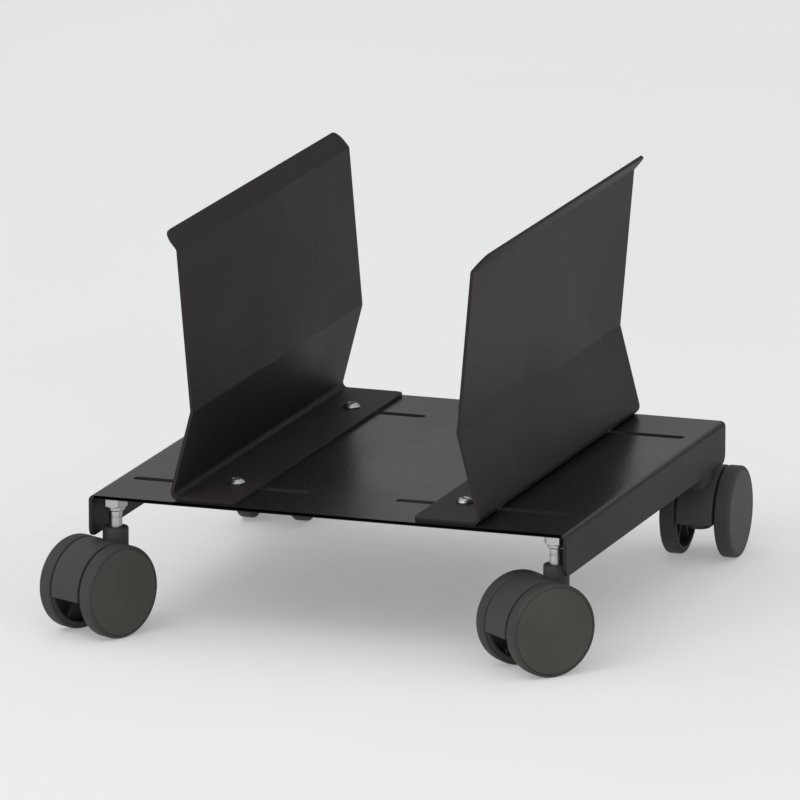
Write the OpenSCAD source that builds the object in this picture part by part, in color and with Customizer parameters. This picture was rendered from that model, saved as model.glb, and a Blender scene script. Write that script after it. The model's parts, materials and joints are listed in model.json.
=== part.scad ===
// Rolling holder for a desktop computer, in millimetres.
// Origin: on the floor, under the middle of the whole object. +X to the right
// seen from the front, +Y to the rear, +Z up.

/* [Base tray] */
// Width of the tray across the flanges
tray_width = 292;
// [240:1:340]
// Depth of the tray, front edge to rear edge
tray_depth = 296;
// [240:1:360]
// Height of the tray's top face above the floor
tray_height = 82;
// [75:0.5:110]
// Sheet thickness of the tray and the wings
sheet = 2;
// [1.5:0.1:3]
// Outside height of the side flanges
flange_height = 25;
// [15:0.5:40]
// Inside radius of the tray's bends
tray_bend_radius = 1;
// [0.5:0.5:3]
// Left-to-right shift of the tray's middle from the origin
tray_shift = 6.6;
// [-10:0.1:10]

/* [Adjusting slots] */
// Distance of each slot's line from the tray's middle
slot_line = 100;
// [60:1:120]
// Inner end of a slot, measured from the tray's middle
slot_inner = 26;
// [15:1:60]
// Outer end of a slot, measured from the tray's middle
slot_outer = 136;
// [100:1:138]
// Width of a slot
slot_width = 7;
// [6.5:0.1:9]

/* [Side wings] */
// Length of each wing, front to rear
wing_length = 292;
// [200:1:292]
// How far the wings' middle lies behind the tray's middle
wing_setback = 2;
// [-6:0.5:6]
// Outside face of the right wing at its foot, from the tray's middle
right_wing_position = 93.5;
// [60:0.5:140]
// Outside face of the left wing at its foot, from the tray's middle
left_wing_position = 98;
// [60:0.5:140]
// Width of the foot that lies on the tray
foot_width = 42;
// [38:1:60]
// Height of the inward crease above the tray
crease_height = 53.5;
// [30:0.5:80]
// How far the crease stands inward of the foot's outside
crease_inset = 13.5;
// [5:0.5:20]
// Height of the lip's bend above the tray
lip_bend_height = 149;
// [100:0.5:200]
// How far the lip's bend stands inward of the foot's outside
lip_bend_inset = 5.2;
// [0:0.1:15]
// Height of the lip's edge above the tray
wing_height = 158.5;
// [120:0.5:220]
// How far the lip's edge stands inward of the foot's outside
lip_edge_inset = -2.9;
// [-5:0.1:5]
// Inside radius of the bend between the foot and the wall
foot_bend_radius = 3;
// [1:0.5:5]
// Inside radius of the crease and of the lip's bend
wall_bend_radius = 1.5;
// [1:0.5:3]
// Corner radius of the foot
foot_corner = 5;
// [1:0.5:12]
// Corner radius of the lip
lip_corner = 8;
// [3:0.5:9]

/* [Clamp bolts] */
// Clamp bolt thread diameter
bolt_diameter = 6;
// [5:1:6]
// Distance of the bolts inward from the foot's outside
bolt_inset = 25.5;
// [20:0.5:34]
// Diameter of the rounded bolt head
bolt_head_diameter = 10.5;
// [10:0.5:16]
// Height of the rounded bolt head
bolt_head_height = 3.3;
// [2.5:0.1:5]
// Washer diameter
washer_diameter = 18;
// [12:0.5:18]
// Washer thickness
washer_thickness = 1.6;
// [1:0.1:2]
// Lock nut size across the flats
lock_nut_flats = 10;
// [8:0.5:13]
// Lock nut height
lock_nut_height = 6;
// [4:0.5:8]

/* [Caster mounting] */
// Sideways distance of the swivel axes from the tray's middle
stem_x = 135;
// [110:0.5:135]
// Front and rear distance of the swivel axes from the tray's middle
stem_y = 133;
// [100:0.5:138]
// Stem diameter
stem_diameter = 8;
// [8:0.5:10]
// Weld nut size across the flats
weld_nut_flats = 13;
// [12:0.5:15]
// Weld nut height
weld_nut_height = 7;
// [5:0.5:10]

/* [Casters] */
// Wheel diameter over the tyres
wheel_diameter = 55;
// [50:1:56]
// Width over both wheels of one caster
caster_width = 43.5;
// [36:0.5:48]
// Gap between the two wheels of one caster
wheel_gap = 23.5;
// [20:0.5:26]
// Distance from the swivel axis to the wheel axle
trail = 14;
// [13.5:0.5:20]
// Direction in which the front right caster trails, degrees from +X
front_right_swivel = 230;
// [0:0.5:359.5]
// Direction in which the front left caster trails, degrees from +X
front_left_swivel = 244;
// [0:0.5:359.5]
// Direction in which the rear right caster trails, degrees from +X
rear_right_swivel = 92;
// [0:0.5:359.5]
// Direction in which the rear left caster trails, degrees from +X
rear_left_swivel = 95;
// [0:0.5:359.5]
// Diameter of the steel axle
axle_diameter = 6;
// [5:0.5:8]
// Radial running clearance on the axle and on the stem
running_clearance = 0.05;
// [0.02:0.01:0.1]
// Radial thickness of the tyre
tyre_thickness = 2;
// [2:0.5:6]

/* [Output] */
// Sub-part to draw

/* [Hidden] */
$fn = 96;
eps = 0.01;

tray_under = tray_height - sheet;
wheel_r = wheel_diameter / 2;
axle_z = wheel_r;
wheel_width = (caster_width - wheel_gap) / 2;
core_r = wheel_r - tyre_thickness;
cover_r = core_r - 0.1;
cover_thickness = 1.8;
// closed end of the wheel's bore, from the outer face
blind = 2.6;
// the hood stands between the wheels
hood_r = wheel_r - 0.1;
hood_half = wheel_gap / 2 - 0.75;
hood_drop = 3.5;
boss_r = 6.5;
socket_r = 7;
socket_bore_r = stem_diameter / 2 + running_clearance;
stem_low = 22;
neck_r = 7.6;
neck_top = axle_z + hood_r + 6.1;
neck_low = axle_z + sqrt(pow(hood_r, 2) - pow(trail + neck_r, 2)) - 2;
flange_corner = 6;
lip_angle = atan2(lip_bend_inset - lip_edge_inset, wing_height - lip_bend_height);
powder = [0.2, 0.19, 0.18];
plastic = [0.22, 0.22, 0.215];
tyre_grey = [0.17, 0.17, 0.17];
zinc = [0.75, 0.75, 0.76];

// ---- bent sheet section -------------------------------------------------
// p: centreline corners, r: centreline radius of each bend in turn. Every
// sample is [x, y, nx, ny], the normal pointing to the left of the path.
function unit(v) = v / norm(v);
function left_of(v) = [-v[1], v[0]];
function turn(a, b) = a[0] * b[1] - a[1] * b[0];
function corner_samples(a, b, c, r, n) =
    let(d1 = unit(b - a), d2 = unit(c - b),
        s = turn(d1, d2) > 0 ? 1 : -1,
        full = acos(max(-1, min(1, d1 * d2))),
        setback = r * tan(full / 2),
        start = b - d1 * setback,
        centre = start + left_of(d1) * r * s,
        first = atan2(left_of(d1)[1], left_of(d1)[0]))
    [for (i = [0:n])
        let(ang = first + s * full * i / n, nrm = [cos(ang), sin(ang)])
        [centre[0] - nrm[0] * r * s, centre[1] - nrm[1] * r * s, nrm[0], nrm[1]]];
function end_sample(p, d) = [p[0], p[1], left_of(d)[0], left_of(d)[1]];
function path_samples(p, r, n) =
    concat([end_sample(p[0], unit(p[1] - p[0]))],
        [for (i = [1:len(p) - 2]) each corner_samples(p[i - 1], p[i], p[i + 1], r[i - 1], n)],
        [end_sample(p[len(p) - 1], unit(p[len(p) - 1] - p[len(p) - 2]))]);
module sheet_section(p, t, r, n = 6) {
    s = path_samples(p, r, n);
    m = len(s);
    polygon(concat(
        [for (q = s) [q[0] + q[2] * t / 2, q[1] + q[3] * t / 2]],
        [for (i = [m - 1:-1:0]) [s[i][0] - s[i][2] * t / 2, s[i][1] - s[i][3] * t / 2]]));
}
// draws a section given in X and Z, and runs it along Y about the middle
module along_y(length) {
    translate([0, length / 2, 0]) rotate([90, 0, 0]) linear_extrude(height = length) children();
}

// ---- base ---------------------------------------------------------------
module slot_cutter(side, line) {
    x1 = slot_inner + slot_width / 2;
    x2 = slot_outer - slot_width / 2;
    translate([side * x1, line, tray_under - 1]) cylinder(d = slot_width, h = sheet + 2, $fn = 48);
    translate([side * x2, line, tray_under - 1]) cylinder(d = slot_width, h = sheet + 2, $fn = 48);
    translate([side * (x1 + x2) / 2 - (x2 - x1) / 2, line - slot_width / 2, tray_under - 1])
        cube([x2 - x1, slot_width, sheet + 2]);
}
// rounds the lower corner at one end of a flange
module flange_corner_cutter(side, end) {
    x = side * (tray_width - sheet) / 2;
    y = end * (tray_depth / 2 - flange_corner);
    translate([x, y, tray_height - flange_height + flange_corner])
        rotate([0, 90, 0]) corner_waste(flange_corner, 1, end, 2 * sheet);
}
module base_tray() {
    color(powder) translate([tray_shift, 0, 0]) {
        w = tray_width / 2 - sheet / 2;
        r = tray_bend_radius + sheet / 2;
        zt = tray_height - sheet / 2;
        zb = tray_height - flange_height;
        difference() {
            along_y(tray_depth)
                sheet_section([[-w, zb], [-w, zt], [w, zt], [w, zb]], sheet, [r, r]);
            for (side = [-1, 1], line = [-slot_line, slot_line]) slot_cutter(side, line);
            for (side = [-1, 1], end = [-1, 1]) flange_corner_cutter(side, end);
        }
    }
}
module at_stems() {
    for (sx = [-1, 1], sy = [-1, 1])
        translate([tray_shift + sx * stem_x, sy * stem_y, 0]) children();
}
module caster_weld_nuts() {
    color(zinc) at_stems() translate([0, 0, tray_under - weld_nut_height]) difference() {
        intersection() {
            rotate([0, 0, 30]) cylinder(d = weld_nut_flats / cos(30), h = weld_nut_height, $fn = 6);
            union() {
                cylinder(d1 = weld_nut_flats - 0.6, d2 = weld_nut_flats / cos(30) + 0.4, h = 1.2);
                translate([0, 0, 1.2]) cylinder(d = weld_nut_flats / cos(30) + 0.4, h = weld_nut_height - 1.2);
            }
        }
        translate([0, 0, -1]) cylinder(d = stem_diameter + 0.04, h = weld_nut_height + 2);
    }
}
module caster_stems() {
    color(zinc) at_stems() {
        translate([0, 0, stem_low + 1]) cylinder(d = stem_diameter, h = tray_under - 0.2 - stem_low - 1);
        translate([0, 0, stem_low]) cylinder(d1 = stem_diameter - 2, d2 = stem_diameter, h = 1);
        // shoulder that bears under the weld nut
        translate([0, 0, tray_under - weld_nut_height - 2]) cylinder(d = 11, h = 2);
    }
}

// ---- wings --------------------------------------------------------------
// right-hand wing, its foot's outside face at x = 0, the tray's top at z = 0
// and the tray's middle at y = 0
module wing_blank() {
    h = sheet / 2;
    foot_r = foot_bend_radius + h;
    wall_r = wall_bend_radius + h;
    translate([0, wing_setback, 0]) along_y(wing_length)
        sheet_section([
            [-foot_width, h],
            [-h, h],
            [-crease_inset - h, crease_height],
            [-lip_bend_inset - h, lip_bend_height],
            [-lip_edge_inset - h, wing_height]
        ], sheet, [foot_r, wall_r, wall_r]);
}
// what lies outside a rounded corner of radius r, in the plane of X and Y
module corner_waste(r, side, end, thick) {
    difference() {
        translate([side > 0 ? 0 : -r - 1, end > 0 ? 0 : -r - 1, -thick / 2]) cube([r + 1, r + 1, thick]);
        cylinder(r = r, h = thick + 2, center = true, $fn = 48);
    }
}
module foot_corner_cutter(end) {
    y = wing_setback + end * (wing_length / 2 - foot_corner);
    translate([-foot_width + foot_corner, y, sheet / 2])
        corner_waste(foot_corner, -1, end, 2 * sheet);
}
module lip_corner_cutter(end) {
    y = wing_setback + end * (wing_length / 2 - lip_corner);
    translate([-lip_edge_inset - sheet / 2, y, wing_height])
        rotate([0, lip_angle - 90, 0]) translate([-lip_corner, 0, 0])
            corner_waste(lip_corner, 1, end, 4 * sheet);
}
module wing() {
    difference() {
        wing_blank();
        for (end = [-1, 1]) {
            foot_corner_cutter(end);
            lip_corner_cutter(end);
            translate([-bolt_inset, end * slot_line, -1])
                cylinder(d = bolt_diameter + 0.4, h = sheet + 2, $fn = 48);
        }
    }
}
module place_right() { translate([tray_shift + right_wing_position, 0, tray_height]) children(); }
module place_left() { translate([tray_shift - left_wing_position, 0, tray_height]) mirror([1, 0, 0]) children(); }
module at_bolts() {
    for (end = [-1, 1]) translate([-bolt_inset, end * slot_line, 0]) children();
}
// Rounded head with a hexagon socket, shank down through foot and slot
module clamp_bolt() {
    shank = sheet * 2 + washer_thickness + lock_nut_height + 1.5;
    rim = 1;
    dome = bolt_head_height - rim;
    dome_r = (pow(bolt_head_diameter / 2 - 0.1, 2) + pow(dome, 2)) / (2 * dome);
    difference() {
        union() {
            translate([0, 0, sheet]) cylinder(d = bolt_head_diameter, h = rim);
            translate([0, 0, sheet + rim])
                intersection() {
                    cylinder(d = bolt_head_diameter, h = dome + 1);
                    translate([0, 0, dome - dome_r]) sphere(r = dome_r);
                }
            translate([0, 0, sheet - shank + 0.8]) cylinder(d = bolt_diameter, h = shank - 0.8 + eps);
            translate([0, 0, sheet - shank]) cylinder(d1 = bolt_diameter - 1.6, d2 = bolt_diameter, h = 0.8);
        }
        translate([0, 0, sheet + bolt_head_height - 2.2]) cylinder(d = 4 / cos(30), h = 4, $fn = 6);
    }
}
module clamp_washer() {
    translate([0, 0, -sheet - washer_thickness]) difference() {
        cylinder(d = washer_diameter, h = washer_thickness);
        translate([0, 0, -1]) cylinder(d = bolt_diameter + 0.4, h = washer_thickness + 2);
    }
}
module lock_nut() {
    top = -sheet - washer_thickness;
    body = lock_nut_height - 2;
    translate([0, 0, top - lock_nut_height]) difference() {
        union() {
            translate([0, 0, lock_nut_height - body])
                cylinder(d = lock_nut_flats / cos(30), h = body, $fn = 6);
            // round nylon collar
            cylinder(d1 = lock_nut_flats - 2, d2 = lock_nut_flats - 0.8, h = 2);
        }
        translate([0, 0, -1]) cylinder(d = bolt_diameter + 0.04, h = lock_nut_height + 2);
    }
}
module left_wing() { color(powder) place_left() wing(); }
module left_clamp_bolts() { color(zinc) place_left() at_bolts() clamp_bolt(); }
module left_clamp_washers() { color(zinc) place_left() at_bolts() clamp_washer(); }
module left_lock_nuts() { color(zinc) place_left() at_bolts() lock_nut(); }
module right_wing() { color(powder) place_right() wing(); }
module right_clamp_bolts() { color(zinc) place_right() at_bolts() clamp_bolt(); }
module right_clamp_washers() { color(zinc) place_right() at_bolts() clamp_washer(); }
module right_lock_nuts() { color(zinc) place_right() at_bolts() lock_nut(); }

// ---- casters ------------------------------------------------------------
// swivel axis at x = y = 0, the wheels trail towards +X, the axle runs along Y
module on_axle() { translate([trail, 0, axle_z]) rotate([90, 0, 0]) children(); }
module above_lower_edge() {
    on_axle() translate([-50, -hood_drop, -40]) cube([100, 100, 80]);
}
module hood_shell() {
    intersection() {
        on_axle() cylinder(r = hood_r, h = 2 * hood_half, center = true);
        above_lower_edge();
    }
}
module hood() {
    difference() {
        union() {
            hood_shell();
            on_axle() cylinder(r = boss_r, h = 2 * hood_half, center = true);
            // stem socket, closed below, and the neck above the shell
            translate([0, 0, stem_low - 2]) cylinder(r = socket_r, h = neck_low - stem_low + 3);
            translate([0, 0, neck_low]) cylinder(r = neck_r, h = neck_top - neck_low);
        }
        translate([0, 0, stem_low - 0.1]) cylinder(r = socket_bore_r, h = 60);
        on_axle() cylinder(d = axle_diameter + 0.02, h = 60, center = true);
    }
}
module axle() {
    l = caster_width - 2 * blind - 0.6;
    on_axle() {
        cylinder(d = axle_diameter, h = l - 1, center = true);
        for (s = [-1, 1]) rotate([s > 0 ? 0 : 180, 0, 0])
            translate([0, 0, l / 2 - 0.5]) cylinder(d1 = axle_diameter, d2 = axle_diameter - 1, h = 0.5);
    }
}
// wheel along its own axis: inner face at z = 0, outer face at z = wheel_width
module wheel_core() {
    face = wheel_width - cover_thickness;
    rim = 2.4;
    hub_r = 6.4;
    difference() {
        cylinder(r = core_r, h = face);
        // hollow between hub and rim, open towards the caster's middle
        translate([0, 0, -1]) difference() {
            cylinder(r = core_r - rim, h = face - 1.8 + 1);
            translate([0, 0, -1]) cylinder(r = hub_r, h = wheel_width + 2);
            for (a = [0:60:300]) rotate([0, 0, a])
                translate([0, -0.8, 3.2]) cube([core_r, 1.6, wheel_width]);
        }
        translate([0, 0, -1]) cylinder(r = axle_diameter / 2 + running_clearance, h = wheel_width - blind + 1);
    }
}
module wheel_tyre() {
    w = wheel_width;
    rotate_extrude() polygon([
        [core_r, 0.6], [core_r + 0.6, 0.6], [wheel_r - 0.4, 1], [wheel_r, 1.8],
        [wheel_r, w - 2], [wheel_r - 0.3, w - 1.1], [wheel_r - 1, w - 0.4],
        [core_r + 0.3, w - 0.15], [core_r, w - 0.1]]);
}
module wheel_cover() {
    w = wheel_width;
    rotate_extrude() polygon([
        [0, w - cover_thickness], [cover_r, w - cover_thickness],
        [cover_r, w - 0.4], [cover_r - 0.4, w], [0, w]]);
}
// side: 1 is towards local +Y, -1 towards local -Y
module on_side(side) {
    translate([trail, 0, axle_z]) rotate([-90 * side, 0, 0]) translate([0, 0, wheel_gap / 2]) children();
}
module front_left() { translate([tray_shift - stem_x, -stem_y, 0]) rotate([0, 0, front_left_swivel]) children(); }
module front_right() { translate([tray_shift + stem_x, -stem_y, 0]) rotate([0, 0, front_right_swivel]) children(); }
module rear_left() { translate([tray_shift - stem_x, stem_y, 0]) rotate([0, 0, rear_left_swivel]) children(); }
module rear_right() { translate([tray_shift + stem_x, stem_y, 0]) rotate([0, 0, rear_right_swivel]) children(); }

module front_left_caster_hood() { color(plastic) front_left() hood(); }
module front_left_axle() { color(zinc) front_left() axle(); }
module front_left_outer_wheel() { color(plastic) front_left() on_side(-1) wheel_core(); }
module front_left_outer_tyre() { color(tyre_grey) front_left() on_side(-1) wheel_tyre(); }
module front_left_outer_cover() { color(plastic) front_left() on_side(-1) wheel_cover(); }
module front_left_inner_wheel() { color(plastic) front_left() on_side(1) wheel_core(); }
module front_left_inner_tyre() { color(tyre_grey) front_left() on_side(1) wheel_tyre(); }
module front_left_inner_cover() { color(plastic) front_left() on_side(1) wheel_cover(); }
module front_right_caster_hood() { color(plastic) front_right() hood(); }
module front_right_axle() { color(zinc) front_right() axle(); }
module front_right_outer_wheel() { color(plastic) front_right() on_side(1) wheel_core(); }
module front_right_outer_tyre() { color(tyre_grey) front_right() on_side(1) wheel_tyre(); }
module front_right_outer_cover() { color(plastic) front_right() on_side(1) wheel_cover(); }
module front_right_inner_wheel() { color(plastic) front_right() on_side(-1) wheel_core(); }
module front_right_inner_tyre() { color(tyre_grey) front_right() on_side(-1) wheel_tyre(); }
module front_right_inner_cover() { color(plastic) front_right() on_side(-1) wheel_cover(); }
module rear_left_caster_hood() { color(plastic) rear_left() hood(); }
module rear_left_axle() { color(zinc) rear_left() axle(); }
module rear_left_outer_wheel() { color(plastic) rear_left() on_side(1) wheel_core(); }
module rear_left_outer_tyre() { color(tyre_grey) rear_left() on_side(1) wheel_tyre(); }
module rear_left_outer_cover() { color(plastic) rear_left() on_side(1) wheel_cover(); }
module rear_left_inner_wheel() { color(plastic) rear_left() on_side(-1) wheel_core(); }
module rear_left_inner_tyre() { color(tyre_grey) rear_left() on_side(-1) wheel_tyre(); }
module rear_left_inner_cover() { color(plastic) rear_left() on_side(-1) wheel_cover(); }
module rear_right_caster_hood() { color(plastic) rear_right() hood(); }
module rear_right_axle() { color(zinc) rear_right() axle(); }
module rear_right_outer_wheel() { color(plastic) rear_right() on_side(-1) wheel_core(); }
module rear_right_outer_tyre() { color(tyre_grey) rear_right() on_side(-1) wheel_tyre(); }
module rear_right_outer_cover() { color(plastic) rear_right() on_side(-1) wheel_cover(); }
module rear_right_inner_wheel() { color(plastic) rear_right() on_side(1) wheel_core(); }
module rear_right_inner_tyre() { color(tyre_grey) rear_right() on_side(1) wheel_tyre(); }
module rear_right_inner_cover() { color(plastic) rear_right() on_side(1) wheel_cover(); }

base_tray();
caster_weld_nuts();
caster_stems();
left_wing();
left_clamp_bolts();
left_clamp_washers();
left_lock_nuts();
right_wing();
right_clamp_bolts();
right_clamp_washers();
right_lock_nuts();
front_left_caster_hood();
front_left_axle();
front_left_outer_wheel();
front_left_outer_tyre();
front_left_outer_cover();
front_left_inner_wheel();
front_left_inner_tyre();
front_left_inner_cover();
front_right_caster_hood();
front_right_axle();
front_right_outer_wheel();
front_right_outer_tyre();
front_right_outer_cover();
front_right_inner_wheel();
front_right_inner_tyre();
front_right_inner_cover();
rear_left_caster_hood();
rear_left_axle();
rear_left_outer_wheel();
rear_left_outer_tyre();
rear_left_outer_cover();
rear_left_inner_wheel();
rear_left_inner_tyre();
rear_left_inner_cover();
rear_right_caster_hood();
rear_right_axle();
rear_right_outer_wheel();
rear_right_outer_tyre();
rear_right_outer_cover();
rear_right_inner_wheel();
rear_right_inner_tyre();
rear_right_inner_cover();
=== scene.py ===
import bpy
import bmesh
import json
import math
from mathutils import Matrix, Vector
from mathutils.geometry import delaunay_2d_cdt


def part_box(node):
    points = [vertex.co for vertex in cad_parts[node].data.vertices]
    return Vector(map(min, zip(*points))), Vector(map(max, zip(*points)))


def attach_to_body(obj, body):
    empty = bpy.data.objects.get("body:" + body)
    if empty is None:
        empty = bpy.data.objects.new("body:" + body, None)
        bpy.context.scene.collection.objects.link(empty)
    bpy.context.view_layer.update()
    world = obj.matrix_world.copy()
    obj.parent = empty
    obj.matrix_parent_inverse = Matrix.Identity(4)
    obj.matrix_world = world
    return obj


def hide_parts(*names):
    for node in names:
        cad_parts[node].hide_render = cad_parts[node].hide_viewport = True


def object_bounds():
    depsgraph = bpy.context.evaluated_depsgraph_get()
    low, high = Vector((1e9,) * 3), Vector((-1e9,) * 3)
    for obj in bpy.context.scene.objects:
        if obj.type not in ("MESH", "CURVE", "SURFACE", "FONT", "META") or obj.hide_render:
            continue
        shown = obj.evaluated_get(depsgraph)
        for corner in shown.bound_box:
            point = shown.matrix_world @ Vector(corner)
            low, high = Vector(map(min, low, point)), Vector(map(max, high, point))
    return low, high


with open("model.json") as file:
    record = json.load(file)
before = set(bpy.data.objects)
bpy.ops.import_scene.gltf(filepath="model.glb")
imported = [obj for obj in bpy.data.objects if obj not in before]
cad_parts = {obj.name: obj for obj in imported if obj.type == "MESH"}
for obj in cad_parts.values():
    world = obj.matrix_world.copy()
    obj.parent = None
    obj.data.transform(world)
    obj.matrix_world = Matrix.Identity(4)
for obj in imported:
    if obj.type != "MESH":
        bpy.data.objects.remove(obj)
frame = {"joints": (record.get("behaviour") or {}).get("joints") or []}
cad_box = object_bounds()
JOINTS = {j["name"]: j for j in frame["joints"]}
MM = 0.001
scene = bpy.context.scene
scene.view_settings.view_transform = "Standard"
scene.view_settings.look = "None"

# ---------------------------------------------------------------- camera
AZ, EL, DIST = math.radians(19.36), math.radians(13.46), 7.288
AIM_DROP = 0.004                 # the camera looks this far below the middle, m
lo, hi = cad_box
aim = (lo + hi) / 2 - Vector((0.0, 0.0, AIM_DROP))
back = Vector((math.sin(AZ) * math.cos(EL), -math.cos(AZ) * math.cos(EL), math.sin(EL)))
cam_data = bpy.data.cameras.new("camera")
cam_data.sensor_width = 36.0
cam_data.lens = 560.0
cam_data.clip_start, cam_data.clip_end = 0.1, 100.0
cam = bpy.data.objects.new("camera", cam_data)
cam.location = aim + back * DIST
cam.rotation_mode = "QUATERNION"
cam.rotation_quaternion = (-back).to_track_quat("-Z", "Y")
scene.collection.objects.link(cam)
scene.camera = cam


# ---------------------------------------------------------------- materials
class Mat:
    """A Principled material, with short helpers for its nodes."""

    def __init__(self, name):
        self.mat = bpy.data.materials.new(name)
        self.mat.use_nodes = True
        self.tree = self.mat.node_tree
        self.bsdf = self.tree.nodes["Principled BSDF"]
        self.coord = self.tree.nodes.new("ShaderNodeTexCoord").outputs["Object"]

    def set(self, **values):
        for key, value in values.items():
            self.bsdf.inputs[key.replace("_", " ")].default_value = value
        return self

    def node(self, kind, **props):
        n = self.tree.nodes.new(kind)
        for key, value in props.items():
            setattr(n, key, value)
        return n

    def link(self, a, b):
        self.tree.links.new(a, b)

    def noise(self, scale, detail=3.0, rough=0.5, stretch=None):
        n = self.node("ShaderNodeTexNoise")
        n.inputs["Scale"].default_value = scale
        n.inputs["Detail"].default_value = detail
        n.inputs["Roughness"].default_value = rough
        if stretch:
            m = self.node("ShaderNodeMapping")
            m.inputs["Scale"].default_value = stretch
            self.link(self.coord, m.inputs["Vector"])
            self.link(m.outputs["Vector"], n.inputs["Vector"])
        else:
            self.link(self.coord, n.inputs["Vector"])
        return n.outputs["Fac"]

    def ramp(self, fac, stops):
        r = self.node("ShaderNodeValToRGB")
        e = r.color_ramp.elements
        while len(e) < len(stops):
            e.new(0.5)
        for el, (pos, col) in zip(e, stops):
            el.position = pos
            el.color = (*col, 1.0) if len(col) == 3 else col
        self.link(fac, r.inputs["Fac"])
        return r.outputs["Color"]

    def span(self, fac, low, high, out_low, out_high):
        m = self.node("ShaderNodeMapRange")
        m.inputs["From Min"].default_value = low
        m.inputs["From Max"].default_value = high
        m.inputs["To Min"].default_value = out_low
        m.inputs["To Max"].default_value = out_high
        self.link(fac, m.inputs["Value"])
        return m.outputs["Result"]

    def math(self, op, a, b):
        m = self.node("ShaderNodeMath", operation=op)
        for i, v in enumerate((a, b)):
            if isinstance(v, (int, float)):
                m.inputs[i].default_value = v
            else:
                self.link(v, m.inputs[i])
        return m.outputs["Value"]

    def bump(self, height, strength, distance):
        b = self.node("ShaderNodeBump")
        b.inputs["Strength"].default_value = strength
        b.inputs["Distance"].default_value = distance
        self.link(height, b.inputs["Height"])
        self.link(b.outputs["Normal"], self.bsdf.inputs["Normal"])
        return self

    def color(self, out):
        self.link(out, self.bsdf.inputs["Base Color"])
        return self

    def rough(self, out):
        self.link(out, self.bsdf.inputs["Roughness"])
        return self


def powder_coat(name, tone, rough, gloss):
    """Black powder coat on sheet steel: fine orange peel, faint cloudiness, rubbed patches."""
    m = Mat(name).set(IOR=1.5, Specular_IOR_Level=gloss)
    cloud = m.noise(9.0, 4.0, 0.55)
    grit = m.noise(900.0, 2.0, 0.6)
    mixed = m.math("ADD", m.math("MULTIPLY", cloud, 0.8), m.math("MULTIPLY", grit, 0.2))
    shades = [(at, tuple(c * k for c in tone)) for at, k in ((0.30, 0.85), (0.55, 1.0), (0.75, 1.18))]
    m.color(m.ramp(mixed, shades))
    m.rough(m.math("ADD", m.span(cloud, 0.3, 0.7, rough - 0.05, rough + 0.05),
                   m.span(grit, 0.3, 0.7, -0.03, 0.04)))
    peel = m.noise(420.0, 2.0, 0.5)
    m.bump(m.math("ADD", peel, m.math("MULTIPLY", grit, 0.35)), 0.35, 0.00012)
    return m.mat


def zinc(name, tone, rough):
    """Bright zinc plate: patchy passivation and fine drawing lines."""
    m = Mat(name).set(Metallic=1.0)
    patch = m.noise(160.0, 4.0, 0.6)
    lines = m.noise(700.0, 2.0, 0.5, stretch=(1.0, 1.0, 0.08))
    dull, bright = ((tone * r, tone * g, tone * b) for r, g, b in ((0.94, 0.93, 0.90), (1.0, 1.0, 1.01)))
    m.color(m.ramp(patch, [(0.3, dull), (0.7, bright)]))
    m.rough(m.math("ADD", m.span(patch, 0.3, 0.7, rough - 0.05, rough + 0.06),
                   m.span(lines, 0.3, 0.7, -0.04, 0.05)))
    m.bump(m.math("ADD", lines, m.math("MULTIPLY", patch, 0.5)), 0.25, 0.00005)
    return m.mat


def plastic(name, dark, light, rough, gloss, grain, depth):
    """Moulded nylon: spark-eroded grain, slight mottling and a dull bloom."""
    m = Mat(name).set(IOR=1.47, Specular_IOR_Level=gloss)
    mottle = m.noise(45.0, 3.0, 0.55)
    fine = m.noise(grain, 3.0, 0.65)
    mixed = m.math("ADD", m.math("MULTIPLY", mottle, 0.65), m.math("MULTIPLY", fine, 0.35))
    m.color(m.ramp(mixed, [(0.32, dark), (0.7, light)]))
    m.rough(m.math("ADD", m.span(mottle, 0.3, 0.7, rough - 0.03, rough + 0.05),
                   m.span(fine, 0.3, 0.7, -0.04, 0.04)))
    m.bump(fine, 0.4, depth)
    return m.mat


POWDER = powder_coat("powder_coat", (0.026, 0.0215, 0.0196), 0.52, 0.12)
# TOP_SHADED_COAT is a second copy of the wings' black coat, used on the tray's upward faces and on the weld
# beads. Its darker, slightly blue tone is painted shade plus a painted tint of the sky's reflection, and it
# is also glossier.
TOP_SHADED_COAT = powder_coat("tray_powder_coat_painted_shade", (0.0100, 0.0098, 0.0112), 0.28, 0.30)
ZINC = zinc("bright_zinc", 0.55, 0.32)
STEEL = zinc("drawn_steel", 0.50, 0.34)
HOOD = plastic("caster_plastic", (0.046, 0.0445, 0.041), (0.060, 0.0575, 0.053), 0.55, 0.2, 1500.0, 0.00006)
DISC = plastic("cover_plastic", (0.059, 0.057, 0.051), (0.075, 0.072, 0.065), 0.5, 0.1, 1900.0, 0.00004)
TYRE = plastic("tyre_plastic", (0.044, 0.043, 0.041), (0.058, 0.0565, 0.053), 0.55, 0.15, 1200.0, 0.00005)


# ---------------------------------------------------------------- mesh tools
def link_mesh(name, part, mat, angle=35.0):
    """Makes an object from (vertices, faces); edges sharper than angle stay sharp."""
    verts, faces = part
    me = bpy.data.meshes.new(name)
    me.from_pydata([tuple(v) for v in verts], [], faces)
    me.materials.append(mat)
    bm = bmesh.new()
    bm.from_mesh(me)
    bmesh.ops.remove_doubles(bm, verts=bm.verts, dist=1e-7)
    bmesh.ops.recalc_face_normals(bm, faces=bm.faces)
    limit = math.radians(angle)
    for f in bm.faces:
        f.smooth = True
    for e in bm.edges:
        e.smooth = not (len(e.link_faces) == 2 and e.calc_face_angle(0.0) > limit)
    bm.to_mesh(me)
    bm.free()
    ob = bpy.data.objects.new(name, me)
    scene.collection.objects.link(ob)
    return ob


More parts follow.
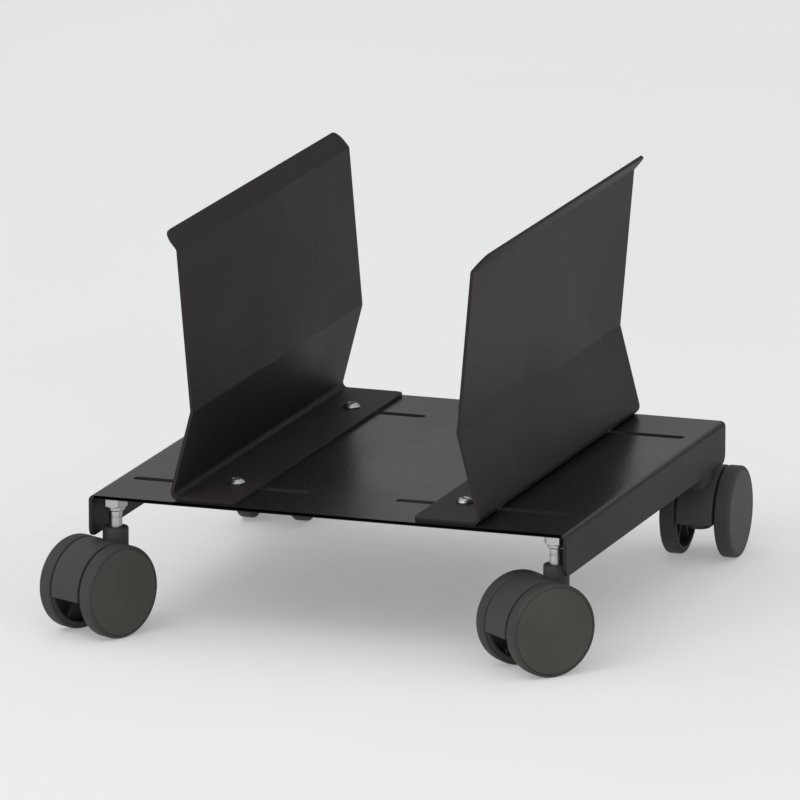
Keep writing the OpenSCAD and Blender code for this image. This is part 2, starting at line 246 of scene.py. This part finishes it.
def rings(levels, n, cap_start=True, cap_end=True):
    """levels: functions angle -> (radius, height) in mm. Joins neighbouring rings with quads."""
    verts, faces = [], []
    for level in levels:
        for i in range(n):
            a = 2 * math.pi * i / n
            r, h = level(a)
            verts.append(Vector((r * math.cos(a), r * math.sin(a), h)) * MM)
    for k in range(len(levels) - 1):
        for i in range(n):
            j = (i + 1) % n
            faces.append((k * n + i, k * n + j, (k + 1) * n + j, (k + 1) * n + i))
    if cap_start:
        faces.append(tuple(reversed(range(n))))
    if cap_end:
        base = (len(levels) - 1) * n
        faces.append(tuple(base + i for i in range(n)))
    return verts, faces


def lathe(profile, n=96, closed=False):
    """profile: (radius, height) pairs in mm. closed joins its end to its start, for a ring."""
    pts = list(profile) + ([profile[0]] if closed else [])
    return rings([lambda a, p=p: p for p in pts], n, not closed, not closed)


def join(parts):
    verts, faces = [], []
    for v, f in parts:
        base = len(verts)
        verts += list(v)
        faces += [tuple(base + i for i in q) for q in f]
    return verts, faces


def moved(part, matrix):
    return [matrix @ Vector(v) for v in part[0]], part[1]


def shift(x=0.0, y=0.0, z=0.0):
    return Matrix.Translation((x * MM, y * MM, z * MM))


def place(parts, spots):
    """Copies of the parts at each spot, in mm, as one mesh."""
    return join([moved(p, shift(*spot)) for spot in spots for p in parts])


def arc(cx, cy, r, a0, a1, n):
    """Points on an arc from a0 to a1, in degrees."""
    angles = [math.radians(a0 + (a1 - a0) * i / n) for i in range(n + 1)]
    return [(cx + r * math.cos(a), cy + r * math.sin(a)) for a in angles]


def hex_radius(flats, a):
    """Distance from the middle to a hexagon's side, in the direction a."""
    return flats / 2 / math.cos(a % (math.pi / 3) - math.pi / 6)


def bevel(ob, width, segments=2, angle=50.0):
    mod = ob.modifiers.new("edge", "BEVEL")
    mod.width = width * MM
    mod.segments = segments
    mod.limit_method = "ANGLE"
    mod.angle_limit = math.radians(angle)
    mod.harden_normals = True
    return ob


def attach(ob, body, nodes):
    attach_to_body(ob, body)
    if nodes:
        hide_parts(*nodes)
    return ob


def piece(name, part, mat, body, nodes, angle=30.0):
    return attach(link_mesh(name, part, mat, angle), body, nodes)


# ---------------------------------------------------------------- bent sheet
SHEET = 2.0                      # sheet thickness of the tray and the wings, mm
EDGE = 0.35                      # rounding of the sheet's cut edges, mm
BOLT_Y = 100.0                   # clamp bolts and slots, in front of and behind the middle, mm


def bent_path(corners, radii, n):
    """Samples (point, normal) along a path whose inner corners are rounded by radii."""
    pts = [Vector(c) for c in corners]
    first = (pts[1] - pts[0]).normalized()
    last = (pts[-1] - pts[-2]).normalized()
    out = [(pts[0], Vector((-first.y, first.x)))]
    for a, b, c, radius in zip(pts, pts[1:], pts[2:], radii):
        d1, d2 = (b - a).normalized(), (c - b).normalized()
        side = 1 if d1.x * d2.y - d1.y * d2.x > 0 else -1
        full = math.acos(max(-1, min(1, d1.dot(d2))))
        n1 = Vector((-d1.y, d1.x))
        centre = b - d1 * radius * math.tan(full / 2) + n1 * radius * side
        for i in range(n + 1):
            q = side * full * i / n
            cos, sin = math.cos(q), math.sin(q)
            nn = Vector((n1.x * cos - n1.y * sin, n1.x * sin + n1.y * cos))
            out.append((centre - nn * radius * side, nn))
    out.append((pts[-1], Vector((-last.y, last.x))))
    return out


def stations(path, head, tail, n=8):
    """Adds samples near both ends, where corners of radius head and tail are rounded.

    Gives (point, normal, cut) with cut the distance by which that corner shortens the sheet."""
    runs = [0.0]
    for (p, _), (q, _) in zip(path, path[1:]):
        runs.append(runs[-1] + (q - p).length)
    total = runs[-1]
    steps = [1 - math.cos(math.pi / 2 * i / n) for i in range(n + 1)]
    want = sorted(runs + [head * s for s in steps] + [total - tail * s for s in steps])
    keep = [want[0]]
    for w in want[1:]:
        if w - keep[-1] > 0.02:
            keep.append(w)
    out = []
    for w in keep:
        k = min(max(i for i in range(len(runs)) if runs[i] <= w + 1e-9), len(runs) - 2)
        t = min((w - runs[k]) / max(runs[k + 1] - runs[k], 1e-9), 1.0)
        point = path[k][0].lerp(path[k + 1][0], t)
        normal = path[k][1].lerp(path[k + 1][1], t).normalized()
        cut = 0.0
        for radius, d in ((head, w), (tail, total - w)):
            if d < radius:
                cut = radius - math.sqrt(max(radius ** 2 - (radius - d) ** 2, 0.0))
        out.append((point, normal, cut))
    return out


def sheet_strip(rows, y0, y1, put, inset=4.0, cap_start=True):
    """Closed sheet swept from y0 to y1 in mm. put(point, y) gives the place of a point."""
    cols = 4 if inset else 2
    verts, faces = [], []
    for point, normal, cut in rows:
        a, b = y0 + cut, y1 - cut
        for s in (1, -1):
            q = point + normal * (s * SHEET / 2)
            verts += [put(q, y) for y in ((a, a + inset, b - inset, b) if inset else (a, b))]

    def at(k, s, j):
        return (k * 2 + s) * cols + j

    last = len(rows) - 1
    for k in range(last):
        for j in range(cols - 1):
            faces.append((at(k, 0, j), at(k, 0, j + 1), at(k + 1, 0, j + 1), at(k + 1, 0, j)))
            faces.append((at(k, 1, j), at(k + 1, 1, j), at(k + 1, 1, j + 1), at(k, 1, j + 1)))
        for j in (0, cols - 1):
            faces.append((at(k, 0, j), at(k + 1, 0, j), at(k + 1, 1, j), at(k, 1, j)))
    for k in ((0, last) if cap_start else (last,)):
        for j in range(cols - 1):
            faces.append((at(k, 0, j), at(k, 0, j + 1), at(k, 1, j + 1), at(k, 1, j)))
    return verts, faces


# ---------------------------------------------------------------- wings and tray
TRAY_LOW, TRAY_TOP = (corner.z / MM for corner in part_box("base_tray"))
TRAY_X0, TRAY_X1 = (corner.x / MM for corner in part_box("base_tray"))
TRAY_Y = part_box("base_tray")[1].y / MM
TRAY_MID = (TRAY_X0 + TRAY_X1) / 2
FOOT = 42.0                      # width of a wing's foot
BOLT_IN = 25.5                   # from a foot's outside to its bolts
SLOT_R = 3.5
SLOT_NEAR, SLOT_FAR = 26.0, 136.0       # a slot's ends, from the tray's middle
CREASE_IN, CREASE_UP = 13.5, 53.5       # the wing's inward crease
LIP_IN, LIP_UP = 5.2, 149.0             # the bend where the lip flares out
LIP_EDGE, WING_UP = 2.9, 158.5          # the lip's edge
FOOT_OUTSIDE = {"right_wing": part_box("right_wing")[0].x / MM + FOOT,
                "left_wing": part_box("left_wing")[1].x / MM - FOOT}


def wing(name, side):
    """side +1 is the right wing. Its section runs from the foot up to the lip's edge."""
    h = SHEET / 2
    section = [(-FOOT, h), (-h, h), (-CREASE_IN - h, CREASE_UP), (-LIP_IN - h, LIP_UP),
               (LIP_EDGE - h, WING_UP)]
    rows = stations(bent_path(section, (4.0, 2.5, 2.5), 8), 5.0, 8.0)
    y0, y1 = (corner.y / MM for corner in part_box(name))
    outside = FOOT_OUTSIDE[name]
    part = sheet_strip(rows, y0, y1,
                       lambda q, y: Vector((outside + side * q.x, y, TRAY_TOP + q.y)) * MM)
    ob = link_mesh(name + "_sheet", part, POWDER)
    return attach(bevel(ob, EDGE), name, [name])


def tray_flange(side, flat, half_width, bend, corner):
    """Bend and flange on one side, from the edge of the flat top down."""
    mid = TRAY_TOP - SHEET / 2
    w = half_width - SHEET / 2
    path = bent_path([(flat - 10, mid), (w, mid), (w, TRAY_LOW)], [bend], 8)[1:]
    return sheet_strip(stations(path, 0.0, corner), -TRAY_Y, TRAY_Y,
                       lambda q, y: Vector((TRAY_MID + side * q.x, y, q.y)) * MM, 0.0, False)


def tray_top(flat):
    """Flat top with four slots, each closed with its own wall."""
    r, near, far = SLOT_R, SLOT_NEAR + SLOT_R, SLOT_FAR - SLOT_R
    slots = [(*sorted((s * near, s * far)), t * BOLT_Y) for s in (-1, 1) for t in (-1, 1)]
    loops = [[(-flat, -TRAY_Y), (flat, -TRAY_Y), (flat, TRAY_Y), (-flat, TRAY_Y)]]
    loops += [arc(b, y, r, -90, 90, 12) + arc(a, y, r, 90, 270, 12) for a, b, y in slots]
    pts, edges = [], []
    for loop in loops:
        base = len(pts)
        pts += [Vector(p) for p in loop]
        edges += [(base + i, base + (i + 1) % len(loop)) for i in range(len(loop))]
    cdt = delaunay_2d_cdt(pts, edges, [], 1, 1e-6)
    flat_pts, tris = cdt[0], cdt[2]
    count = len(flat_pts)

    def in_slot(p):
        return any((p - Vector((min(max(p.x, a), b), y))).length < r - 1e-4 for a, b, y in slots)

    verts = [Vector((TRAY_MID + p.x, p.y, z)) * MM
             for z in (TRAY_TOP, TRAY_TOP - SHEET) for p in flat_pts]
    faces, border = [], {}
    for f in tris:
        if in_slot(sum((flat_pts[i] for i in f), Vector((0.0, 0.0))) / len(f)):
            continue
        faces.append(tuple(f))
        faces.append(tuple(count + i for i in reversed(f)))
        for a, b in zip(f, list(f[1:]) + [f[0]]):
            key = (min(a, b), max(a, b))
            border[key] = border.get(key, 0) + 1
    for (a, b), used in border.items():
        on_bend = all(abs(abs(flat_pts[i].x) - flat) < 1e-4 for i in (a, b))
        if used == 1 and not on_bend:
            faces.append((a, b, count + b, count + a))
    return verts, faces


def tray():
    bend, corner = 2.0, 6.0       # centreline bend radius, lower corner radius of a flange
    half_width = (TRAY_X1 - TRAY_X0) / 2
    flat = half_width - SHEET / 2 - bend
    part = join([tray_top(flat)] + [tray_flange(s, flat, half_width, bend, corner) for s in (-1, 1)])
    ob = link_mesh("tray_sheet", part, TOP_SHADED_COAT)
    ob.data.materials.append(POWDER)
    # Upward faces take the darker copy of the coat, which is painted shade; the flanges and the underside
    # keep the wings' coat.
    for face in ob.data.polygons:
        if face.normal.z < 0.7:
            face.material_index = 1
    return attach(bevel(ob, EDGE), "base", ["base_tray"])


# ---------------------------------------------------------------- fasteners
def nut(flats, height, bore):
    """Hexagon nut standing on z = 0, corners chamfered on both faces, bore edge broken."""
    across = flats / 2 / math.cos(math.pi / 6)
    face = flats / 2 * 0.96
    slope = math.tan(math.radians(30))
    steps = [face + (across - face + 0.02) * i / 4 for i in range(5)]

    def hexagon(limit, z):
        return lambda a: (min(hex_radius(flats, a), limit), z)

    def circle(r, z):
        return lambda a: (r, z)

    levels = [circle(bore, 0.5), circle(bore + 0.5, 0.0)]
    levels += [hexagon(r, (r - face) * slope) for r in steps]
    levels += [hexagon(r, height - (r - face) * slope) for r in reversed(steps)]
    levels += [circle(bore + 0.5, height), circle(bore, height - 0.5), circle(bore, 0.5)]
    return rings(levels, 96, False, False)


def bolt_head(d, height, socket):
    """Button head on z = 0 with a hexagon socket."""
    rim, depth = 0.8, 2.0
    big = d / 2
    dome = height - rim
    ball = (big ** 2 + dome ** 2) / (2 * dome)
    land = socket / 2 / math.cos(math.pi / 6) + 0.5

    def dome_z(r):
        return rim + math.sqrt(max(ball ** 2 - r ** 2, 0)) - (ball - dome)

    outline = [(big * 0.95, 0.0), (big, 0.25), (big, rim)]
    outline += [(r, dome_z(r)) for r in (big + (land - big) * i / 8 for i in range(1, 9))]
    top = dome_z(land)
    levels = [lambda a, p=p: p for p in outline]
    for grow, z in ((0.2, top), (0.0, top - 0.2), (0.0, top - depth)):
        levels.append(lambda a, grow=grow, z=z: (hex_radius(socket, a) + grow, z))
    levels.append(lambda a: (0.3, top - depth - 0.6))
    return rings(levels, 72)


def threaded(r, z0, z1, pitch=1.0):
    """Thread as close rings along a rod, with a chamfered tip at z0."""
    outline = [(r * 0.72, z0), (r - 0.1, z0 + 0.9)]
    z = z0 + 1.2
    while z + pitch < z1:
        outline += [(r, z), (r, z + pitch * 0.18), (r - pitch * 0.5, z + pitch * 0.55),
                    (r - pitch * 0.5, z + pitch * 0.65)]
        z += pitch
    return lathe(outline + [(r, z1)], 48)


def clamps(name, side):
    """Button-head bolts through the foot and the slots, with washers and lock nuts below."""
    x = FOOT_OUTSIDE[name] - side * BOLT_IN
    spots = [(x, -BOLT_Y, TRAY_TOP), (x, BOLT_Y, TRAY_TOP)]
    short = name.split("_")[0]
    shank_r, thick = 2.98, 1.6
    low = -SHEET - thick                       # underside of the washer
    head = moved(bolt_head(10.5, 3.3, 4.0), shift(z=SHEET))
    shank = [threaded(shank_r, low - 7.5, low - 0.1), lathe([(shank_r, low), (shank_r, SHEET + 0.1)], 48)]
    piece(short + "_bolts", place([head] + shank, spots), ZINC, name, [short + "_clamp_bolts"])
    washer = lathe([(3.2, low + 0.15), (3.35, low), (8.6, low), (9.0, low + 0.3), (9.0, -SHEET - 0.25),
                    (8.75, -SHEET), (3.35, -SHEET), (3.2, -SHEET - 0.15)], 72, closed=True)
    piece(short + "_washers", place([washer], spots), ZINC, name, [short + "_clamp_washers"])
    hexagon = moved(nut(10.0, 4.2, 3.02), shift(z=low - 4.2))
    collar = [(3.02, low - 5.8), (3.3, low - 6.0), (3.9, low - 6.0), (4.35, low - 5.6), (4.6, low - 4.5),
              (4.6, low - 4.1), (3.02, low - 4.1)]
    nuts = place([hexagon, lathe(collar, 72, closed=True)], spots)
    piece(short + "_nuts", nuts, ZINC, name, [short + "_lock_nuts"])


def weld_bead(start, spread, r, tube):
    """Rippled bead of weld lying round a nut's foot, hanging from z = 0."""
    n, sides = 18, 10
    verts, faces = [], []
    for i in range(n + 1):
        a = math.radians(start + spread * i / n)
        end = math.sin(math.pi * i / n) ** 0.4 if 0 < i < n else 0.12
        size = tube * end * (1 + 0.08 * math.sin(5 * math.pi * i / n * 2))
        for j in range(sides + 1):
            b = math.pi * j / sides
            rr = r + size * math.cos(b)
            verts.append(Vector((rr * math.cos(a), rr * math.sin(a), -size * math.sin(b))) * MM)
    row = sides + 1
    for i in range(n):
        for j in range(row):
            k = (j + 1) % row
            faces.append((i * row + j, i * row + k, (i + 1) * row + k, (i + 1) * row + j))
    faces.append(tuple(range(row)))
    faces.append(tuple(n * row + j for j in reversed(range(row))))
    return verts, faces


def stems():
    """Caster stems, their weld nuts and the beads that hold these under the tray."""
    a, b = (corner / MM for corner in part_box("caster_stems"))
    shoulder = 5.5
    spots = [(x, y, 0.0) for x in (a.x + shoulder, b.x - shoulder) for y in (a.y + shoulder, b.y - shoulder)]
    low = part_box("caster_weld_nuts")[0].z / MM
    under = TRAY_TOP - SHEET
    groove = low - 6.4
    rod = [(3.0, a.z), (4.0, a.z + 1.0), (4.0, groove), (3.8, groove + 0.2), (3.8, groove + 1.0),
           (4.0, groove + 1.2), (4.0, low - 2.6), (4.3, low - 2.2), (5.2, low - 2.0), (shoulder, low - 1.7),
           (shoulder, low - 0.3), (5.2, low), (4.0, low), (4.0, under - 0.2)]
    piece("stems", place([lathe(rod, 64)], spots), ZINC, "base", ["caster_stems"])
    weld = moved(nut(13.0, under - low, 4.02), shift(z=low))
    piece("weld_nuts", place([weld], spots), ZINC, "base", ["caster_weld_nuts"])
    beads = [weld_bead(120 * i + 8, 44, 6.9, 1.3) for i in range(3)]
    beads = place(beads, [(x, y, under + 0.02) for x, y, _ in spots])
    # The beads take the tray top's darker coat, whose tone is painted shade.
    piece("weld_beads", beads, TOP_SHADED_COAT, "base", [], 60.0)


# ---------------------------------------------------------------- casters
WHEEL_R, AXLE_Z, TRAIL = 27.5, 27.5, 14.0
GAP, WIDTH = 23.5, 10.0          # between the wheels, and of one wheel
CORE_R = 25.5
COVER_THICK = 1.8
HOOD_R, HOOD_HALF = 27.4, 11.0   # radius and half width of the hood
HOOD_LOWER = 24.0                # height of the hood's open lower edge
SOCKET_LOW = 20.0                # bottom of the stem's socket
WEB = 2.4                        # wall between the hood's two chambers
PIN_SHORT = 2.9                  # how far each end of the axle stays inside the wheels
AXLE = shift(TRAIL, 0, AXLE_Z) @ Matrix.Rotation(math.pi / 2, 4, "X")


def tyre_profile():
    w = WIDTH
    shoulder = arc(WHEEL_R - 1.8, w - 2.0, 1.8, 0, 65, 6)
    return ([(CORE_R, 0.9), (CORE_R + 0.2, 0.6), (26.1, 0.6), (26.7, 0.75), (27.1, 1.05), (27.4, 1.5),
             (WHEEL_R, 2.1)] + shoulder
            + [(26.1, w - 0.27), (25.8, w - 0.15), (25.6, w - 0.2), (CORE_R, w - 0.5)])


def core_profile():
    face = WIDTH - COVER_THICK
    return [(3.05, 0.6), (3.4, 0.0), (6.0, 0.0), (6.4, 0.4), (6.4, face - 2.0), (6.6, face - 1.8),
            (22.9, face - 1.8), (23.1, face - 2.0), (23.1, 0.4), (23.5, 0.0), (25.0, 0.0), (CORE_R, 0.5),
            (CORE_R, face), (0.4, face), (0.4, face - 0.75), (3.05, face - 0.85)]


def cover_profile():
    w = WIDTH
    return [(0.0001, w - COVER_THICK + 0.01), (25.3, w - COVER_THICK + 0.01), (25.4, w - 1.65),
            (25.4, w - 0.5), (25.3, w - 0.25), (25.0, w - 0.1), (24.5, w - 0.02), (23.8, w), (12.0, w),
            (0.0001, w)]


def block(x0, x1, y0, y1, z0, z1):
    """Box between the given planes, in mm."""
    verts = [Vector((x, y, z)) * MM for z in (z0, z1) for x, y in ((x0, y0), (x1, y0), (x1, y1), (x0, y1))]
    faces = [(0, 3, 2, 1), (4, 5, 6, 7), (0, 1, 5, 4), (1, 2, 6, 5), (2, 3, 7, 6), (3, 0, 4, 7)]
    return verts, faces


def rib(angle):
    """One of the core's six ribs, between the hub and the rim."""
    top = WIDTH - COVER_THICK - 1.7
    return moved(block(6.2, 23.3, -0.8, 0.8, 2.2, top), Matrix.Rotation(math.radians(angle), 4, "Z"))


def wheel(caster, which, place_wheel):
    """place_wheel puts a wheel whose axis is z and whose inner face is at z = 0."""
    body = f"{caster}_{which}_wheel"
    base = f"{caster}_{which}"
    tyre = moved(lathe(tyre_profile(), 144, closed=True), place_wheel)
    piece(base + "_tread", tyre, TYRE, body, [base + "_tyre"])
    core = join([lathe(core_profile(), 96, closed=True)] + [rib(a) for a in range(0, 360, 60)])
    piece(base + "_core", moved(core, place_wheel), HOOD, body, [base + "_wheel"])
    cover = moved(lathe(cover_profile(), 144), place_wheel)
    piece(base + "_disc", cover, DISC, body, [base + "_cover"])


def boolean(ob, part, operation):
    """Adds or cuts a part, and gives the helper object to remove afterwards."""
    other = link_mesh("helper", part, HOOD)
    mod = ob.modifiers.new(operation, "BOOLEAN")
    mod.operation = operation
    mod.object = other
    mod.solver = "EXACT"
    return other


def hood_solid():
    """Caster hood about its swivel axis: shell open below, web, axle boss, socket and neck."""
    half, edge = HOOD_HALF, 0.6
    rim = HOOD_R - edge
    shell = lathe([(0.0001, -half), (rim, -half)] + arc(rim, edge - half, edge, -75, 0, 4)
                  + arc(rim, half - edge, edge, 0, 75, 4) + [(rim, half), (0.0001, half)], 160)
    body = link_mesh("hood", moved(shell, AXLE), HOOD)
    # The lower cut comes first, on the plain shell: after the unions the mesh has slivers that break it.
    helpers = [boolean(body, block(-60, 60, -20, 20, -5, HOOD_LOWER), "DIFFERENCE")]
    for s in (-1, 1):
        z0, z1 = sorted((s * WEB / 2, s * 9.4))
        chamber = lathe([(0.0001, z0), (25.0, z0), (25.4, z0 + 0.4), (25.4, z1 - 0.4), (25.0, z1),
                         (0.0001, z1)], 128)
        helpers.append(boolean(body, moved(chamber, AXLE), "DIFFERENCE"))
    boss = moved(lathe([(6.1, -half), (6.5, 0.4 - half), (6.5, half - 0.4), (6.1, half)], 64), AXLE)
    socket = lathe([(6.4, SOCKET_LOW), (7.0, SOCKET_LOW + 0.6), (7.0, 47.0)], 72)
    neck = lathe([(7.6, 42.5), (7.6, 60.0), (7.45, 60.5), (7.0, 60.85), (6.4, 61.0)], 72)
    stem_bore = lathe([(4.05, 21.9), (4.05, 60.2), (4.9, 61.2)], 64)
    axle_bore = moved(lathe([(3.01, -30.0), (3.01, 30.0)], 64), AXLE)
    helpers += [boolean(body, part, "UNION") for part in (boss, socket, neck)]
    helpers += [boolean(body, part, "DIFFERENCE") for part in (stem_bore, axle_bore)]
    bpy.context.view_layer.update()
    solved = body.evaluated_get(bpy.context.evaluated_depsgraph_get())
    me = bpy.data.meshes.new_from_object(solved)
    me.name = "hood"
    for o in [body] + helpers:
        bpy.data.objects.remove(o)
    return me


def caster(name, hood_me):
    px, py = JOINTS[name + "_swivel"]["pos_m"][:2]
    cx, cy = JOINTS[name + "_outer_wheel_roll"]["pos_m"][:2]
    m = Matrix.Translation((px, py, 0)) @ Matrix.Rotation(math.atan2(cy - py, cx - px), 4, "Z")
    hood = bpy.data.objects.new(name + "_hood", hood_me)
    scene.collection.objects.link(hood)
    hood.matrix_world = m
    attach(bevel(hood, 0.4, 2, 45), name + "_caster", [name + "_caster_hood"])
    half = (GAP + 2 * WIDTH) / 2 - PIN_SHORT
    pin = lathe([(2.4, -half), (2.9, -half + 0.5), (3.0, -half + 0.9), (3.0, half - 0.9), (2.9, half - 0.5),
                 (2.4, half)], 64)
    piece(name + "_pin", moved(pin, m @ AXLE), STEEL, name + "_caster", [name + "_axle"])
    for which in ("outer", "inner"):
        a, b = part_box(f"{name}_{which}_cover")
        side = 1 if (m.inverted() @ ((a + b) / 2)).y > 0 else -1
        turned = Matrix.Rotation(-side * math.pi / 2, 4, "X")
        wheel(name, which, m @ shift(TRAIL, 0, AXLE_Z) @ turned @ shift(z=GAP / 2))


tray()
for wing_name, wing_side in (("right_wing", 1), ("left_wing", -1)):
    wing(wing_name, wing_side)
    clamps(wing_name, wing_side)
stems()
hood_mesh = hood_solid()
for corner_name in ("front_left", "front_right", "rear_left", "rear_right"):
    caster(corner_name, hood_mesh)


# ---------------------------------------------------------------- stage and light
def studio_floor():
    bm = bmesh.new()
    bmesh.ops.create_grid(bm, x_segments=8, y_segments=8, size=8.0)
    me = bpy.data.meshes.new("floor")
    bm.to_mesh(me)
    bm.free()
    floor = bpy.data.objects.new("floor", me)
    scene.collection.objects.link(floor)
    m = Mat("floor_paper").set(Roughness=0.85, Emission_Color=(1.0, 1.0, 0.99, 1.0), Emission_Strength=0.27)
    m.color(m.ramp(m.noise(3.0, 3.0), [(0.3, (0.59, 0.59, 0.585)), (0.7, (0.61, 0.61, 0.605))]))
    m.bump(m.noise(500.0, 2.0), 0.1, 0.0001)
    me.materials.append(m.mat)


def studio_world(dim, bright):
    """Pale sky, brightest in front of the object and above it, dimmest behind it."""
    world = bpy.data.worlds.new("studio")
    scene.world = world
    world.use_nodes = True
    tree = world.node_tree
    coord = tree.nodes.new("ShaderNodeTexCoord").outputs["Generated"]
    facing = tree.nodes.new("ShaderNodeVectorMath")
    facing.operation = "DOT_PRODUCT"
    facing.inputs[1].default_value = (-0.25, -0.80, 0.55)
    ramp = tree.nodes.new("ShaderNodeMapRange")
    for key, value in (("From Min", -0.7), ("From Max", 0.9), ("To Min", dim), ("To Max", bright)):
        ramp.inputs[key].default_value = value
    background = tree.nodes["Background"]
    background.inputs["Color"].default_value = (0.97, 0.98, 1.0, 1.0)
    tree.links.new(coord, facing.inputs[0])
    tree.links.new(facing.outputs["Value"], ramp.inputs["Value"])
    tree.links.new(ramp.outputs["Result"], background.inputs["Strength"])


def soft_light(name, spot, size, watts, colour):
    data = bpy.data.lights.new(name, "AREA")
    data.shape = "DISK"
    data.size = size
    data.energy = watts
    data.color = colour
    ob = bpy.data.objects.new(name, data)
    ob.location = spot
    ob.rotation_mode = "QUATERNION"
    ob.rotation_quaternion = (Vector((0, 0, 0.1)) - Vector(spot)).to_track_quat("-Z", "Y")
    scene.collection.objects.link(ob)


studio_floor()
studio_world(0.40, 0.95)
soft_light("key", (-1.1, -2.1, 2.9), 1.8, 24.0, (1.0, 0.99, 0.97))
soft_light("fill", (1.0, -2.8, 2.2), 2.2, 13.0, (1.0, 1.0, 1.0))
